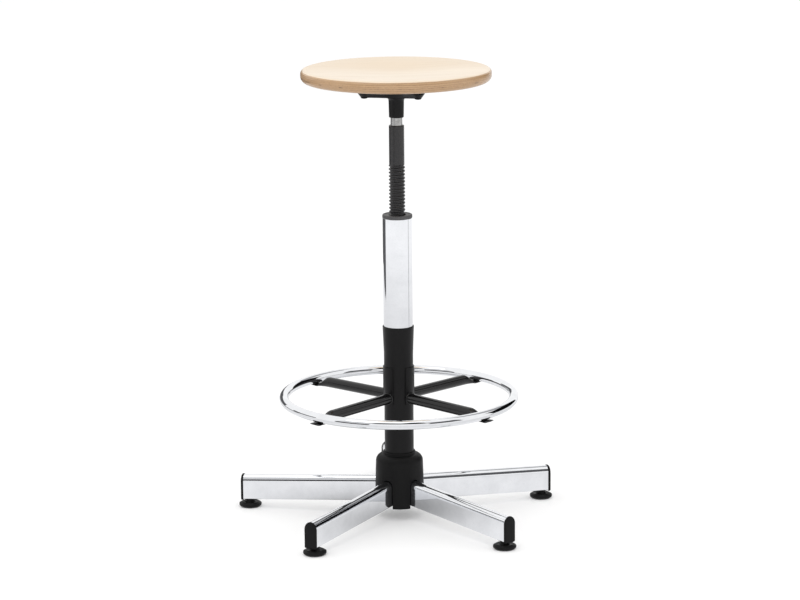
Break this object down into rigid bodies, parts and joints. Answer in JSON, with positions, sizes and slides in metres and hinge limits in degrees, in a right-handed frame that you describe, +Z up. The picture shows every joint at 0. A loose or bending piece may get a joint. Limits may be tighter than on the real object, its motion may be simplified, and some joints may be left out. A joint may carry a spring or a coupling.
{
  "type": "adjustable swivel stool",
  "caption": "Tall swivel stool: round plywood seat on a threaded spindle in a two-tube column, with a chrome foot ring on black spokes and a chrome five-arm base on round black glides",
  "frame": {"origin": "on the floor, at the centre of the footprint that the five glides span; the column's axis stands 27.2 mm in front of it, towards -Y", "axes": "+Z up, along the column; +Y along the odd arm of the base, which points away from the front; +X to the right seen from the front"},
  "size_m": [0.583, 0.5564, 0.822],
  "materials": {
    "plywood": "clear-lacquered light veneer top with bare plies showing in the edge",
    "chrome": "bright chrome plate",
    "steel": "bare turned steel",
    "black_paint": "semi-gloss black coating",
    "black_plastic": "moulded black plastic with a soft sheen"
  },
  "bodies": {
    "base": {"arm_1": "chrome", "arm_2": "chrome", "arm_3": "chrome", "arm_4": "chrome", "arm_5": "chrome", "arm_cap_1": "black_plastic", "arm_cap_2": "black_plastic", "arm_cap_3": "black_plastic", "arm_cap_4": "black_plastic", "arm_cap_5": "black_plastic", "column_cap": "black_plastic", "foot_ring": "chrome", "glide_1": "black_plastic", "glide_2": "black_plastic", "glide_3": "black_plastic", "glide_4": "black_plastic", "glide_5": "black_plastic", "glide_stem_1": "steel", "glide_stem_2": "steel", "glide_stem_3": "steel", "glide_stem_4": "steel", "glide_stem_5": "steel", "hub_core": "black_paint", "hub_cover": "black_plastic", "hub_wire_clip": "steel", "lower_tube": "black_paint", "ring_screw_back_left": "black_paint", "ring_screw_back_right": "black_paint", "ring_screw_front_left": "black_paint", "ring_screw_front_right": "black_paint", "ring_shell_left": "black_paint", "ring_shell_right": "black_paint", "spoke_back_left": "black_paint", "spoke_back_right": "black_paint", "spoke_front_left": "black_paint", "spoke_front_right": "black_paint", "thread_nut": "steel", "upper_tube": "chrome"},
    "lift": {"guide_bush": "black_plastic"},
    "seat": {"end_screw": "steel", "end_washer": "steel", "seat_board": "plywood", "seat_screw_1": "black_paint", "seat_screw_2": "black_paint", "seat_screw_3": "black_paint", "seat_screw_4": "black_paint", "seat_spider": "black_paint", "spindle": "black_paint", "taper_socket": "black_paint"}
  },
  "joints": [
    {"name": "seat_height", "type": "slide", "parent": "base", "child": "lift", "axis": [0, 0, 1], "range_m": [-0.0897, 0.0705]},
    {"name": "seat_turn", "type": "hinge", "parent": "lift", "child": "seat", "pos_m": [0, -0.02717, 0.56], "axis": [0, 0, 1], "range_deg": [-5040, 3960]}
  ],
  "couplings": [
    {"joint": "seat_height", "follows": "seat_turn", "m_per_rad": 0.0010186}
  ]
}
